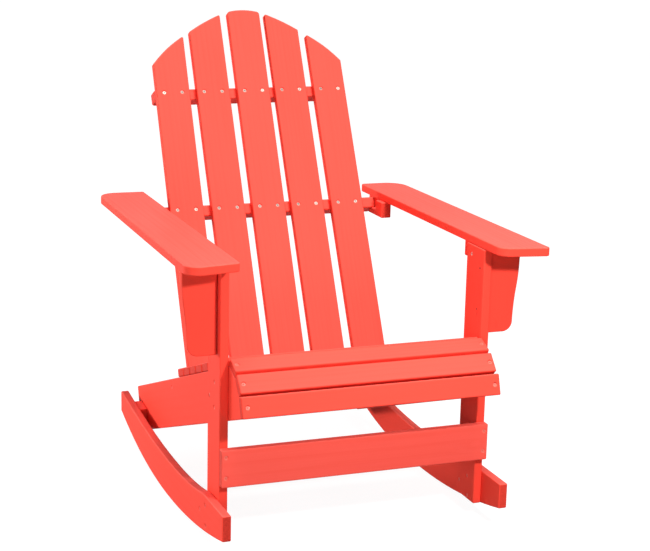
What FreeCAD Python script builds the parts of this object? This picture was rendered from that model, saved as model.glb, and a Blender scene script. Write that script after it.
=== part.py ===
import FreeCAD, Part
from collections import namedtuple
import math
import os

# Rocking adirondack chair, built board by board in millimetres with +Z up.
# The sitter faces -Y, +X is the right-hand side as seen from the front, the floor is z = 0.
# Only the right-hand boards are drawn; their left-hand partners are mirror images in x = 0.
# The two arm boards are the exception: their corners and ends are cut a little differently.

# Boards
BOARD = 17.5
EDGE_ROUND = 2.6
FIT_GAP = 0.3

# Side frames, from the outside in: rocker, post, stringer
POST_OUTER = 278.0
POST_INNER = POST_OUTER - BOARD
STRINGER_INNER = POST_INNER - BOARD
ROCKER_OUTER = POST_OUTER + BOARD
POST_FRONT = -338.5
POST_DEPTH = 78.0
POST_REAR = POST_FRONT + POST_DEPTH

# Rocker: the running edge is two arcs that meet level at its lowest point, which lies under
# the chair's centre of mass; the upper edge is a shallow curve with a level nose
ROCKER_RADIUS_FRONT = 1640.0
ROCKER_RADIUS_REAR = 1255.0
ROCKER_LOW_Y = -27.9
ROCKER_FRONT = -418.0
ROCKER_REAR = 358.0
ROCKER_NOSE_TOP = 98.0
ROCKER_NOSE_END = -306.0
ROCKER_TOP = [(-262.0, 92.6), (-205.0, 84.6), (-120.0, 78.4), (-38.0, 77.0), (60.0, 79.3),
              (154.0, 85.2), (255.0, 95.2), (358.0, 107.3)]

# Seat stringer
SEAT_ANGLE = math.radians(19.67)
STRINGER_TOP_Y = 1.7
STRINGER_TOP_Z = 242.3
STRINGER_WIDTH = 101.0
STRINGER_REAR_Y = 343.0
STRINGER_FLOOR_GAP = 14.0

# Seat boards
SEAT_HALF = POST_INNER - 0.4
SEAT_WIDTH = 40.0
SEAT_GAP = 5.9
SEAT_FIRST_Y = -333.5
SEAT_COUNT = 8
SEAT_SCREW_X = (POST_INNER + STRINGER_INNER) / 2.0
# Boards that turn down over the front: angle from level, step in y and z from the outer lower corner
# of the board behind to the board's own outer upper corner, extra width and extra reach at each end
NOSE_BOARDS = [
    ("seat_slat_1", 21.6, -15.5, 2.9, 0.0, 0.0),
    ("seat_slat_2", 47.5, -7.4, -4.0, 0.0, 0.7),
    ("seat_apron", 72.5, -6.6, -3.6, 1.5, 2.5),
]

# Back: slats lie on a plane leaning back, their front face goes through BACK_Y, BACK_Z
BACK_Y = 58.5
BACK_Z = 263.9
BACK_LEAN = math.radians(26.4)
SLAT_WIDTH = 74.8
SLAT_BOTTOM = -62.0
SLAT_INSET = 54.9
SLAT_REACH = STRINGER_INNER - SLAT_INSET
# Centre of each slat's foot as a share of the outer slats' reach, its sideways lean, its top corners' radius
SLAT_SPREAD = [(-1.0, 0.0090, 3.0), (-0.4896, 0.0016, 3.0), (0.0016, 0.0029, 7.0), (0.4918, -0.0043, 3.0),
               (1.0, -0.0090, 3.0)]
SLAT_SCREW_INSET = 16.9
# Arch over the slat tops: share of its half width, height up the slats
ARCH_HALF = SLAT_REACH + 43.9
ARCH = [(0.0, 779.5), (0.155, 775.0), (0.302, 762.0), (0.44, 745.8), (0.56, 729.0), (0.698, 708.5),
        (0.817, 687.0), (0.917, 664.0), (1.0, 642.0)]

# Back rails, square to the slats
RAIL_HEIGHT = 24.0
RAIL_DEPTH = 40.0
UPPER_RAIL_S = 590.0
UPPER_RAIL_HALF = SLAT_REACH + SLAT_SPREAD[-1][1] * UPPER_RAIL_S + SLAT_WIDTH / 2.0
MIDDLE_RAIL_S = 324.2
LOWER_RAIL_S = -54.0
LOWER_RAIL_DEPTH = 24.0
LOWER_RAIL_SCREW = BOARD + 7.0
RAIL_CORNER = 9.0

# Arms and what carries them
ARM_TOP = 574.0
ARM_UNDER = ARM_TOP - BOARD
# Corners of each arm, seen from above: out from the post's outer face, y, corner radius
ARM_RIGHT = [(-15.0, -405.0, 28.0), (82.5, -422.0, 7.0), (74.5, 297.0, 44.0), (-21.0, 298.0, 6.0)]
ARM_LEFT = [(-23.0, -386.5, 8.0), (82.5, -405.0, 28.0), (74.5, 329.0, 38.0), (-28.5, 325.5, 6.0)]
BRACKET_FRONT = POST_FRONT + 16.0
BRACKET_SEAM = 1.8
# Bracket's outer edge: out from the post, down from the arm
BRACKET_CURVE = [(69.5, 0.0), (69.3, 36.5), (67.0, 68.5), (63.4, 94.5), (60.8, 120.5), (59.3, 152.5)]
BRACKET_CORNER = [(53.5, 167.1), (39.5, 173.5)]
CLEAT_HEIGHT = 38.0
CLEAT_FOOT = ARM_UNDER - CLEAT_HEIGHT
CLEAT_FRONT = BRACKET_FRONT + BOARD
CLEAT_REAR = POST_REAR + 47.5
BLOCK_WIDTH = 23.0
BLOCK_INNER = POST_INNER - 11.0
BLOCK_OUTER = BLOCK_INNER + BLOCK_WIDTH
BLOCK_FRONT = 156.0
BLOCK_REAR = 255.0
BLOCK_FOOT = ARM_UNDER - 35.0
# Step in the block that takes the end of the middle rail
HOUSING_DEPTH = 10.5
HOUSING_FRONT = 190.0
MIDDLE_RAIL_HALF = BLOCK_INNER + HOUSING_DEPTH - FIT_GAP

# Front stretcher and rear spacers
STRETCHER_FOOT = 129.0
STRETCHER_HEIGHT = 75.0
SPACER_FRONT = 254.0
SPACER_REAR = 303.0
SPACER_TOP = 98.5
SPACER_TOP_FALL = 4.0
SPACER_FOOT = 52.0

# Screws: countersunk, cross recess
HEAD_RADIUS = 3.9
HEAD_DEPTH = 2.4
SHANK_RADIUS = 2.0
HOLE_CLEARANCE = 0.15
HEAD_SINK = 0.9
MOUTH_DEPTH = 1.5
LONG_SCREW = 32.0
SLAT_SCREW = 36.0
END_SCREW = 45.0
SPACER_SCREW = 46.0
CLEAT_SCREW = 2.0 * BOARD - 4.0
TIP_LENGTH = 5.0
TIP_RADIUS = 0.4
# Post screws: behind the post's front edge, below the stringer's top edge
POST_SCREWS = [(35.0, 26.4), (67.0, 50.5), (35.0, 76.7)]
# Rocker bolts: behind the post's front edge, above the running edge
ROCKER_BOLTS = [(69.5, 40.5), (33.5, 55.2), (29.5, 13.5)]
# Stretcher screws: above the stretcher's lower edge
STRETCHER_SCREWS = [19.0, 60.5]
CLEAT_SCREW_INSET = 24.5
SPACER_SCREW_INSETS = (14.0, 14.0)
SPACER_SCREW_LIFT = 22.0
BLOCK_SCREW_SHIFTS = (-9.0, 5.0)

Nose = namedtuple("Nose", "name top low up inward half")

screw_groups = {}
tools = []


def vec(x, y, z):
    return FreeCAD.Vector(x, y, z)


def polygon_prism(points, direction):
    """Solid swept from a closed loop of 3-D points."""
    wire = Part.makePolygon(points + [points[0]])
    return Part.Face(wire).extrude(direction)


def rounded(solid, radius=EDGE_ROUND, choose=None):
    """Softens the chosen edges, or every edge, of one board."""
    edges = solid.Edges if choose is None else [e for e in solid.Edges if choose(e)]
    return solid.makeFillet(radius, edges)


def lies_flat(edge):
    """True for an edge that stays in one x plane."""
    reach = edge.BoundBox
    return reach.XMax - reach.XMin < 0.01


def softened(solid):
    """Softens every edge; a shape too tight for that gets smaller or fewer rounds."""
    for choose in (None, lies_flat):
        for radius in (EDGE_ROUND, 2.0, 1.5):
            try:
                soft = rounded(solid, radius, choose)
            except Exception:
                continue
            if soft.isValid() and len(soft.Solids) == 1:
                return soft
    print("left sharp: a board with %d edges" % len(solid.Edges))
    return solid


def mirrored(solid):
    return solid.mirror(vec(0, 0, 0), vec(1, 0, 0))


def x_board(x0, x1, outline):
    """Board of the Y-Z outline between two x planes."""
    loop = [vec(x0, y, z) for y, z in outline]
    return polygon_prism(loop, vec(x1 - x0, 0, 0))


def rocker_z(y):
    """Height of the running edge."""
    radius = ROCKER_RADIUS_FRONT if y < ROCKER_LOW_Y else ROCKER_RADIUS_REAR
    return radius - math.sqrt(radius ** 2 - (y - ROCKER_LOW_Y) ** 2)


def running_arc(y0, y1, x):
    """Arc of the running edge between two y stations on one side of its lowest point."""
    points = [vec(x, y, rocker_z(y)) for y in (y0, (y0 + y1) / 2.0, y1)]
    return Part.Arc(*points).toShape()


# Screws
def add_screw(group, head, direction, length=LONG_SCREW):
    """Places one countersunk screw; head is the point on the board's face."""
    screw_groups.setdefault(group, [])
    axis = vec(*direction)
    axis.normalize()
    seat = head + axis * HEAD_SINK
    cone = Part.makeCone(HEAD_RADIUS, SHANK_RADIUS, HEAD_DEPTH, seat, axis)
    shank_length = length - HEAD_DEPTH - TIP_LENGTH
    shank = Part.makeCylinder(SHANK_RADIUS, shank_length, seat + axis * HEAD_DEPTH, axis)
    tip = Part.makeCone(SHANK_RADIUS, TIP_RADIUS, TIP_LENGTH, seat + axis * (length - TIP_LENGTH), axis)
    screw = cone.fuse([shank, tip]).removeSplitter()
    recess = cross_recess(seat, axis)
    screw_groups[group].extend(screw.cut(recess).Solids)
    bore = Part.makeCylinder(SHANK_RADIUS + HOLE_CLEARANCE, length + 0.6, seat, axis)
    sink_top = HEAD_RADIUS + HOLE_CLEARANCE
    sink_end = SHANK_RADIUS + HOLE_CLEARANCE
    sink = Part.makeCone(sink_top, sink_end, HEAD_DEPTH, seat, axis)
    tools.append(bore.fuse([sink, screw_mouth(seat, axis, sink_top)]))


def screw_mouth(seat, axis, radius):
    """Flared mouth of a countersink, from the screw head out past the board's face."""
    return Part.makeCone(radius + MOUTH_DEPTH, radius, MOUTH_DEPTH, seat - axis * MOUTH_DEPTH, axis)


def cross_recess(seat, axis):
    """Two crossed tapering slots, the driver recess of a screw head."""
    side = axis.cross(vec(1, 0, 0))
    if side.Length < 0.5:
        side = axis.cross(vec(0, 1, 0))
    side.normalize()
    other = axis.cross(side)
    slots = []
    for along, across in ((side, other), (other, side)):
        a = along * 2.1
        b = across * 0.45
        start = seat - axis * 0.5
        loop = [start + a + b, start - a + b, start - a - b, start + a - b]
        slots.append(polygon_prism(loop, axis * 1.7))
    return slots[0].fuse(slots[1])


def add_barrel_bolt(group, start, direction, length):
    """One through fastener with a countersunk head at both faces."""
    screw_groups.setdefault(group, [])
    axis = vec(*direction)
    axis.normalize()
    seat = start + axis * HEAD_SINK
    inner = length - 2.0 * HEAD_SINK
    far = seat + axis * inner
    near_cone = Part.makeCone(HEAD_RADIUS, SHANK_RADIUS, HEAD_DEPTH, seat, axis)
    far_cone = Part.makeCone(HEAD_RADIUS, SHANK_RADIUS, HEAD_DEPTH, far, axis * -1)
    shank = Part.makeCylinder(SHANK_RADIUS, inner - 2.0 * HEAD_DEPTH, seat + axis * HEAD_DEPTH, axis)
    bolt = shank.fuse([near_cone, far_cone]).removeSplitter()
    bolt = bolt.cut(cross_recess(seat, axis)).cut(cross_recess(far, axis * -1))
    screw_groups[group].extend(bolt.Solids)
    sink_top = HEAD_RADIUS + HOLE_CLEARANCE
    sink_end = SHANK_RADIUS + HOLE_CLEARANCE
    parts = [Part.makeCone(sink_top, sink_end, HEAD_DEPTH, seat, axis),
             Part.makeCone(sink_top, sink_end, HEAD_DEPTH, far, axis * -1),
             screw_mouth(seat, axis, sink_top),
             screw_mouth(far, axis * -1, sink_top)]
    tools.append(Part.makeCylinder(sink_end, inner, seat, axis).fuse(parts))


def both_sides(place):
    """Runs a placing rule for the right-hand side and its mirror image."""
    for side in (1.0, -1.0):
        place(side)


# Rockers
def make_rocker():
    x = POST_OUTER
    front_low = rocker_z(ROCKER_FRONT)
    rear_low = rocker_z(ROCKER_REAR)
    bottom = [running_arc(ROCKER_FRONT, ROCKER_LOW_Y, x), running_arc(ROCKER_LOW_Y, ROCKER_REAR, x)]
    rear = Part.makeLine(vec(x, ROCKER_REAR, rear_low), vec(x, ROCKER_REAR, ROCKER_TOP[-1][1]))
    curve = Part.BSplineCurve()
    knots = [vec(x, ROCKER_NOSE_END, ROCKER_NOSE_TOP)] + [vec(x, y, z) for y, z in ROCKER_TOP]
    level = vec(0, 1, 0)
    curve.interpolate(Points=knots, InitialTangent=level, FinalTangent=vec(0, 1, 0.125))
    nose_corner = vec(x, ROCKER_FRONT, ROCKER_NOSE_TOP)
    nose = Part.makeLine(knots[0], nose_corner)
    front = Part.makeLine(nose_corner, vec(x, ROCKER_FRONT, front_low))
    wire = Part.Wire(Part.__sortEdges__(bottom + [rear, curve.toShape(), nose, front]))
    return softened(Part.Face(wire).extrude(vec(BOARD, 0, 0)))


# Posts
def make_post():
    """Upright board, cut level at the height where its front meets the running edge."""
    foot = rocker_z(POST_FRONT)
    outline = [(POST_FRONT, foot), (POST_REAR, foot), (POST_REAR, ARM_UNDER), (POST_FRONT, ARM_UNDER)]
    return softened(x_board(POST_INNER, POST_OUTER, outline))


# Seat stringers
def stringer_top(y):
    return STRINGER_TOP_Z + math.tan(SEAT_ANGLE) * (STRINGER_TOP_Y - y)


def slope_frame():
    """Directions down the seat's slope and square up from it, in (y, z)."""
    down = (math.cos(SEAT_ANGLE), -math.sin(SEAT_ANGLE))
    square = (math.sin(SEAT_ANGLE), math.cos(SEAT_ANGLE))
    return down, square


def nose_chain():
    """The front boards in (y, z), each set on from the outer lower corner of the one behind it."""
    _, square = slope_frame()
    corner = (SEAT_FIRST_Y + square[0] * BOARD, stringer_top(SEAT_FIRST_Y) + square[1] * BOARD)
    chain = []
    for name, degrees, step_y, step_z, wider, longer in NOSE_BOARDS:
        angle = math.radians(degrees)
        up = (math.cos(angle), math.sin(angle))
        inward = (math.sin(angle), -math.cos(angle))
        width = SEAT_WIDTH + wider
        top = (corner[0] + step_y, corner[1] + step_z)
        corner = (top[0] - up[0] * width, top[1] - up[1] * width)
        chain.append(Nose(name, top, corner, up, inward, SEAT_HALF + longer))
    return chain


def line_cross(p, d, q, e):
    """Crossing of the lines p + t d and q + s e in the Y-Z plane."""
    det = d[0] * -e[1] + e[0] * d[1]
    t = ((q[0] - p[0]) * -e[1] + e[0] * (q[1] - p[1])) / det
    return (p[0] + t * d[0], p[1] + t * d[1])


def inner_line(board):
    """Point and direction of a front board's inner face."""
    point = (board.top[0] + board.inward[0] * BOARD, board.top[1] + board.inward[1] * BOARD)
    return point, board.up


def make_stringer():
    slope, square = slope_frame()
    top = (STRINGER_TOP_Y, STRINGER_TOP_Z)
    rear_top = (STRINGER_REAR_Y, stringer_top(STRINGER_REAR_Y))
    under = (rear_top[0] - square[0] * STRINGER_WIDTH, rear_top[1] - square[1] * STRINGER_WIDTH)
    lines = [inner_line(board) for board in nose_chain()]
    crest = line_cross(top, slope, *lines[0])
    knee = line_cross(*lines[0], *lines[1])
    chin = line_cross(*lines[1], *lines[2])
    heel = line_cross(under, slope, *lines[2])
    outline = [rear_top, under, heel, chin, knee, crest]
    board = x_board(STRINGER_INNER, POST_INNER, outline)
    centre = vec(STRINGER_INNER - BOARD, ROCKER_LOW_Y, ROCKER_RADIUS_REAR)
    keep = Part.makeCylinder(ROCKER_RADIUS_REAR - STRINGER_FLOOR_GAP, 4.0 * BOARD, centre, vec(1, 0, 0))
    return softened(board.common(keep))


# Seat boards
def make_nose_board(board):
    """One board of the rounded seat front, with a screw at each end."""
    top, low = board.top, board.low
    back = (board.inward[0] * (BOARD - FIT_GAP), board.inward[1] * (BOARD - FIT_GAP))
    outline = [top, low, (low[0] + back[0], low[1] + back[1]), (top[0] + back[0], top[1] + back[1])]
    for side in (1.0, -1.0):
        head = vec(side * SEAT_SCREW_X, (top[0] + low[0]) / 2.0, (top[1] + low[1]) / 2.0)
        add_screw("seat_screws", head, (0.0, board.inward[0], board.inward[1]))
    return softened(x_board(-board.half, board.half, outline))


def make_seat_board(index):
    """One board on the seat's slope, with a screw at each end."""
    slope, up = slope_frame()
    y0 = SEAT_FIRST_Y + slope[0] * (SEAT_WIDTH + SEAT_GAP) * index
    z0 = stringer_top(y0)
    along = (slope[0] * SEAT_WIDTH, slope[1] * SEAT_WIDTH)
    low = (up[0] * FIT_GAP, up[1] * FIT_GAP)
    high = (up[0] * BOARD, up[1] * BOARD)
    corners = [(0.0, low), (1.0, low), (1.0, high), (0.0, high)]
    outline = [(y0 + along[0] * k + v[0], z0 + along[1] * k + v[1]) for k, v in corners]
    face = (y0 + along[0] / 2.0 + high[0], z0 + along[1] / 2.0 + high[1])
    for side in (1.0, -1.0):
        head = vec(side * SEAT_SCREW_X, face[0], face[1])
        add_screw("seat_screws", head, (0.0, -up[0], -up[1]))
    return softened(x_board(-SEAT_HALF, SEAT_HALF, outline))


# Back
def back_point(x, s, depth=0.0):
    """Point on the back: s up the slats, depth behind their front face."""
    y = BACK_Y + s * math.sin(BACK_LEAN) + depth * math.cos(BACK_LEAN)
    z = BACK_Z + s * math.cos(BACK_LEAN) - depth * math.sin(BACK_LEAN)
    return vec(x, y, z)


BACK_INWARD = vec(0, math.cos(BACK_LEAN), -math.sin(BACK_LEAN))


def make_arch_cutter():
    """Everything above the arch that runs across the slat tops."""
    right = [back_point(x * ARCH_HALF, s, -BOARD) for x, s in ARCH]
    left = [back_point(-x * ARCH_HALF, s, -BOARD) for x, s in reversed(ARCH[1:])]
    curve = Part.BSplineCurve()
    curve.interpolate(left + right)
    high = ARCH[0][1] + SLAT_WIDTH
    corners = [right[-1], back_point(ARCH_HALF, high, -BOARD), back_point(-ARCH_HALF, high, -BOARD), left[0]]
    sides = [Part.makeLine(corners[i], corners[i + 1]) for i in range(3)]
    wire = Part.Wire(Part.__sortEdges__([curve.toShape()] + sides))
    return Part.Face(wire).extrude(BACK_INWARD * 3.0 * BOARD)


def make_slat(index, cutter):
    share, spread, corner = SLAT_SPREAD[index]
    foot = share * SLAT_REACH
    half = SLAT_WIDTH / 2.0
    top = ARCH[0][1] + half
    corners = [(-half, SLAT_BOTTOM), (half, SLAT_BOTTOM), (half, top), (-half, top)]
    loop = [back_point(foot + spread * s + x, s) for x, s in corners]
    blank = polygon_prism(loop, BACK_INWARD * BOARD).cut(cutter)
    up = back_point(0, 1) - back_point(0, 0)

    def at_top(edge):
        start, end = edge.Vertexes[0].Point, edge.Vertexes[-1].Point
        middle = (start + end) * 0.5 - back_point(0, 0)
        across = (end - start).normalize().cross(BACK_INWARD).Length
        return across < 0.01 and middle.dot(up) > UPPER_RAIL_S

    slat = rounded(blank, corner, at_top)
    for name, rail in (("upper", UPPER_RAIL_S), ("middle", MIDDLE_RAIL_S), ("lower", LOWER_RAIL_S)):
        for side in (-1.0, 1.0):
            x = foot + spread * rail + side * (half - SLAT_SCREW_INSET)
            add_screw(name + "_rail_screws", back_point(x, rail), tuple(BACK_INWARD), SLAT_SCREW)
    return softened(slat)


def make_rail(centre, half, depth, corner):
    s0 = centre - RAIL_HEIGHT / 2.0
    loop = [back_point(-half, s0, BOARD), back_point(half, s0, BOARD),
            back_point(half, s0, BOARD + depth), back_point(-half, s0, BOARD + depth)]
    up = back_point(0, 1) - back_point(0, 0)
    rail = polygon_prism(loop, up * RAIL_HEIGHT)
    if corner > 0.0:
        rail = rounded(rail, corner, lambda e: abs(e.Length - RAIL_HEIGHT) < 0.01)
    return softened(rail)


# Arms
def make_arm(corners):
    """One arm board on the right-hand side, from its corners and their radii."""
    arm = polygon_prism([vec(POST_OUTER + out, y, ARM_UNDER) for out, y, _ in corners], vec(0, 0, BOARD))
    for out, y, radius in corners:
        def upright_here(edge, x=POST_OUTER + out, y=y):
            a, b = edge.Vertexes[0].Point, edge.Vertexes[-1].Point
            near = abs(a.x - x) < 0.01 and abs(a.y - y) < 0.01
            return near and abs(a.x - b.x) < 0.001 and abs(a.y - b.y) < 0.001
        arm = rounded(arm, radius, upright_here)
    return softened(arm)


def make_bracket():
    """Curved bracket under the arm, outside the post and a narrow seam away from it."""
    def on_face(out, down):
        return vec(POST_OUTER + out, BRACKET_FRONT, ARM_UNDER - down)

    curve = Part.BSplineCurve()
    curve.interpolate([on_face(out, down) for out, down in BRACKET_CURVE])
    corner_mid, corner_end = [on_face(out, down) for out, down in BRACKET_CORNER]
    foot_drop = BRACKET_CORNER[-1][1]
    corner = Part.Arc(on_face(*BRACKET_CURVE[-1]), corner_mid, corner_end).toShape()
    foot = Part.makeLine(corner_end, on_face(BRACKET_SEAM, foot_drop))
    back = Part.makeLine(on_face(BRACKET_SEAM, foot_drop), on_face(BRACKET_SEAM, 0.0))
    top = Part.makeLine(on_face(BRACKET_SEAM, 0.0), on_face(*BRACKET_CURVE[0]))
    wire = Part.Wire(Part.__sortEdges__([curve.toShape(), corner, foot, back, top]))
    return softened(Part.Face(wire).extrude(vec(0, BOARD, 0)))


def box(x0, x1, y0, y1, z0, z1):
    return Part.makeBox(x1 - x0, y1 - y0, z1 - z0, vec(x0, y0, z0))


def make_arm_block():
    """Block under the rear of the arm, stepped on its inner side for the middle rail's end."""
    block = box(BLOCK_INNER, BLOCK_OUTER, BLOCK_FRONT, BLOCK_REAR, BLOCK_FOOT, ARM_UNDER)
    under_s = MIDDLE_RAIL_S - RAIL_HEIGHT / 2.0 - FIT_GAP
    front = back_point(0, under_s, BOARD)
    rear = back_point(0, under_s, BOARD + 2.0 * RAIL_DEPTH)
    above = ARM_UNDER + BOARD
    outline = [(HOUSING_FRONT, front.z), (front.y, front.z), (rear.y, rear.z), (rear.y, above),
               (HOUSING_FRONT, above)]
    return softened(block.cut(x_board(BLOCK_INNER - BOARD, BLOCK_INNER + HOUSING_DEPTH, outline)))


def make_spacer():
    """Block that carries the rear of the stringer on the rocker."""
    outline = [(SPACER_FRONT, SPACER_FOOT), (SPACER_REAR, SPACER_FOOT), (SPACER_REAR, SPACER_TOP),
               (SPACER_FRONT, SPACER_TOP - SPACER_TOP_FALL)]
    return softened(x_board(POST_INNER, POST_OUTER, outline))


# Fasteners that are not placed with their board
def place_side_screws(side):
    """Screws and bolts of one side frame."""
    outward = (side, 0.0, 0.0)
    inward = (-side, 0.0, 0.0)
    for behind, below in POST_SCREWS:
        y = POST_FRONT + behind
        add_screw("post_screws", vec(side * POST_OUTER, y, stringer_top(y) - below), inward)
    for behind, above in ROCKER_BOLTS:
        y = POST_FRONT + behind
        head = vec(side * ROCKER_OUTER, y, rocker_z(y) + above)
        add_barrel_bolt("rocker_bolts", head, inward, 2.0 * BOARD)
    post_middle = side * (POST_INNER + BOARD / 2.0)
    for above in STRETCHER_SCREWS:
        head = vec(post_middle, POST_FRONT - BOARD, STRETCHER_FOOT + above)
        add_screw("stretcher_screws", head, (0.0, 1.0, 0.0))
    lower = back_point(0, LOWER_RAIL_S, LOWER_RAIL_SCREW)
    add_screw("lower_rail_end_screws", vec(side * POST_INNER, lower.y, lower.z), inward, END_SCREW)
    cleat = vec(side * POST_INNER, CLEAT_FRONT + CLEAT_SCREW_INSET, (CLEAT_FOOT + ARM_UNDER) / 2.0)
    add_screw("cleat_screws", cleat, outward, CLEAT_SCREW)
    near, far = SPACER_SCREW_INSETS
    for y in (SPACER_FRONT + near, SPACER_REAR - far):
        head = vec(side * STRINGER_INNER, y, SPACER_FOOT + SPACER_SCREW_LIFT)
        add_screw("spacer_screws", head, outward, SPACER_SCREW)
    rail = back_point(0, MIDDLE_RAIL_S, BOARD + RAIL_DEPTH / 2.0)
    for shift in BLOCK_SCREW_SHIFTS:
        head = vec(side * BLOCK_OUTER, rail.y + shift, rail.z - shift * math.tan(BACK_LEAN))
        add_screw("arm_block_screws", head, inward, END_SCREW)


def build():
    """Returns every node name with its list of solids, in the working frame."""
    nodes = {}
    pairs = {
        "rocker": make_rocker(),
        "post": make_post(),
        "stringer": make_stringer(),
        "arm_bracket": make_bracket(),
        "arm_cleat": softened(box(POST_OUTER, ROCKER_OUTER, CLEAT_FRONT, CLEAT_REAR, CLEAT_FOOT, ARM_UNDER)),
        "arm_block": make_arm_block(),
        "rear_spacer": make_spacer(),
    }
    for name, solid in pairs.items():
        nodes[name + "_right"] = [solid]
        nodes[name + "_left"] = [mirrored(solid)]
    nodes["arm_right"] = [make_arm(ARM_RIGHT)]
    nodes["arm_left"] = [mirrored(make_arm(ARM_LEFT))]
    nodes["front_stretcher"] = [softened(box(-POST_OUTER, POST_OUTER, POST_FRONT - BOARD, POST_FRONT,
                                             STRETCHER_FOOT, STRETCHER_FOOT + STRETCHER_HEIGHT))]
    for board in nose_chain():
        nodes[board.name] = [make_nose_board(board)]
    for index in range(SEAT_COUNT):
        nodes["seat_slat_%d" % (index + 3)] = [make_seat_board(index)]
    cutter = make_arch_cutter()
    for index in range(len(SLAT_SPREAD)):
        nodes["back_slat_%d" % (index + 1)] = [make_slat(index, cutter)]
    nodes["upper_back_rail"] = [make_rail(UPPER_RAIL_S, UPPER_RAIL_HALF, RAIL_DEPTH, RAIL_CORNER)]
    nodes["middle_back_rail"] = [make_rail(MIDDLE_RAIL_S, MIDDLE_RAIL_HALF, RAIL_DEPTH, RAIL_CORNER)]
    nodes["lower_back_rail"] = [make_rail(LOWER_RAIL_S, STRINGER_INNER, LOWER_RAIL_DEPTH, 0.0)]
    both_sides(place_side_screws)
    return nodes


def drill(nodes):
    """Cuts every screw hole that reaches a board, and leaves the board whole elsewhere."""
    for name, solids in nodes.items():
        drilled = []
        for solid in solids:
            reach = solid.BoundBox
            near = [tool for tool in tools if reach.intersect(tool.BoundBox)]
            if near:
                solid = solid.cut(near)
            drilled.extend(solid.Solids)
        nodes[name] = drilled
    for name, screws in screw_groups.items():
        nodes[name] = screws


def export(nodes):
    os.makedirs("parts", exist_ok=True)
    low = min(s.BoundBox.YMin for solids in nodes.values() for s in solids)
    high = max(s.BoundBox.YMax for solids in nodes.values() for s in solids)
    shift = vec(0, -(low + high) / 2.0, 0)
    total = 0.0
    moment = vec(0, 0, 0)
    for name, solids in nodes.items():
        moved = [s.translated(shift) for solid in solids for s in solid.Solids]
        shape = moved[0] if len(moved) == 1 else Part.makeCompound(moved)
        shape.exportStep(os.path.join("parts", name + ".step"))
        for s in moved:
            total += s.Volume
            moment += s.CenterOfMass * s.Volume
    centre = moment * (1.0 / total)
    for name, solids in nodes.items():
        if len(solids) == 1 and not solids[0].isValid():
            print("not valid:", name)
    print("nodes", len(nodes), "shift y %.2f" % shift.y, "centroid %.1f %.1f %.1f" % tuple(centre))
    print("running edge lowest at y %.1f" % (ROCKER_LOW_Y + shift.y))


nodes = build()
drill(nodes)
export(nodes)
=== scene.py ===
"""Dresses the rocking adirondack chair: painted boards, steel screws, studio and camera."""
from __future__ import annotations

import logging
import math
from dataclasses import dataclass, field
from enum import Enum

import bmesh
import bpy
import numpy as np
from mathutils import Matrix, Vector

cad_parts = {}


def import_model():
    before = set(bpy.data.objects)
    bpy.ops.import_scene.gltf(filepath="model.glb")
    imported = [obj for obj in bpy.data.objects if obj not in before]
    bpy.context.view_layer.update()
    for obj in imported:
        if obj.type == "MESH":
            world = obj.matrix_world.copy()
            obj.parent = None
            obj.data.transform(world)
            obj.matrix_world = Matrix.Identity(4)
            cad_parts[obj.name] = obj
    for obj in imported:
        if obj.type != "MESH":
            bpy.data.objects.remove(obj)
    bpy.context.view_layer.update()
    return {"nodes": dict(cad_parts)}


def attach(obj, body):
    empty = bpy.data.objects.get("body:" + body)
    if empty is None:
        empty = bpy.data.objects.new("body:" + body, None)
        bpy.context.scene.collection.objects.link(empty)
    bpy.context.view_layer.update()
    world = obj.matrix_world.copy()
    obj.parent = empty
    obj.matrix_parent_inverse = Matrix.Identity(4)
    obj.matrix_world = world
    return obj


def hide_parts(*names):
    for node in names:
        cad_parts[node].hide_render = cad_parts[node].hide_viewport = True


logging.basicConfig(level=logging.INFO, format="%(message)s")
LOG = logging.getLogger("chair")

Colour = tuple[float, float, float]
Triple = tuple[float, float, float]
Span = tuple[float, float]
BACK_LEAN = math.radians(26.4)
SEAT_SLOPE = math.radians(19.67)
FASTENERS = ("_screws", "_bolts")


class Run(Enum):
    """Which way a board's grain runs; the value turns that way onto the pattern's X axis."""

    ACROSS = (0.0, 0.0, 0.0)
    DEPTH = (0.0, 0.0, -math.pi / 2)
    UPRIGHT = (0.0, math.pi / 2, 0.0)
    BACK = (BACK_LEAN - math.pi / 2, 0.0, -math.pi / 2)
    SEAT = (SEAT_SLOPE, 0.0, -math.pi / 2)


class Steel(Enum):
    """How a screw head looks: bright bare zinc, or dulled by a film of paint."""

    BRIGHT = "bright"
    DULLED = "dulled"


def link(tree: bpy.types.NodeTree, source: bpy.types.NodeSocket, target: bpy.types.NodeSocket) -> None:
    """Joins two sockets."""
    tree.links.new(source, target)


def node(tree: bpy.types.NodeTree, kind: str, **settings: object) -> bpy.types.Node:
    """Adds one node and sets its properties.

    Args:
        tree: the node tree that gets it.
        kind: the node's bl_idname.
        settings: property names and values.

    Returns:
        The new node.
    """
    made = tree.nodes.new(kind)
    for name, value in settings.items():
        setattr(made, name, value)
    return made


def maths(tree: bpy.types.NodeTree, operation: str, *values: object) -> bpy.types.NodeSocket:
    """Adds a Math node whose inputs are sockets or numbers.

    Args:
        tree: the node tree that gets it.
        operation: the Math operation's name.
        values: one socket or number per input.

    Returns:
        The node's result.
    """
    made = node(tree, "ShaderNodeMath", operation=operation)
    for slot, value in zip(made.inputs, values):
        if isinstance(value, bpy.types.NodeSocket):
            link(tree, value, slot)
        else:
            slot.default_value = value
    return made.outputs[0]


def weighted(tree: bpy.types.NodeTree, *parts: tuple[bpy.types.NodeSocket, float]) -> bpy.types.NodeSocket:
    """Adds up values, each times its own weight.

    Args:
        tree: the node tree that gets the nodes.
        parts: each value with its weight.

    Returns:
        The sum.
    """
    total, *others = [maths(tree, "MULTIPLY", value, weight) for value, weight in parts]
    for part in others:
        total = maths(tree, "ADD", total, part)
    return total


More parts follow.
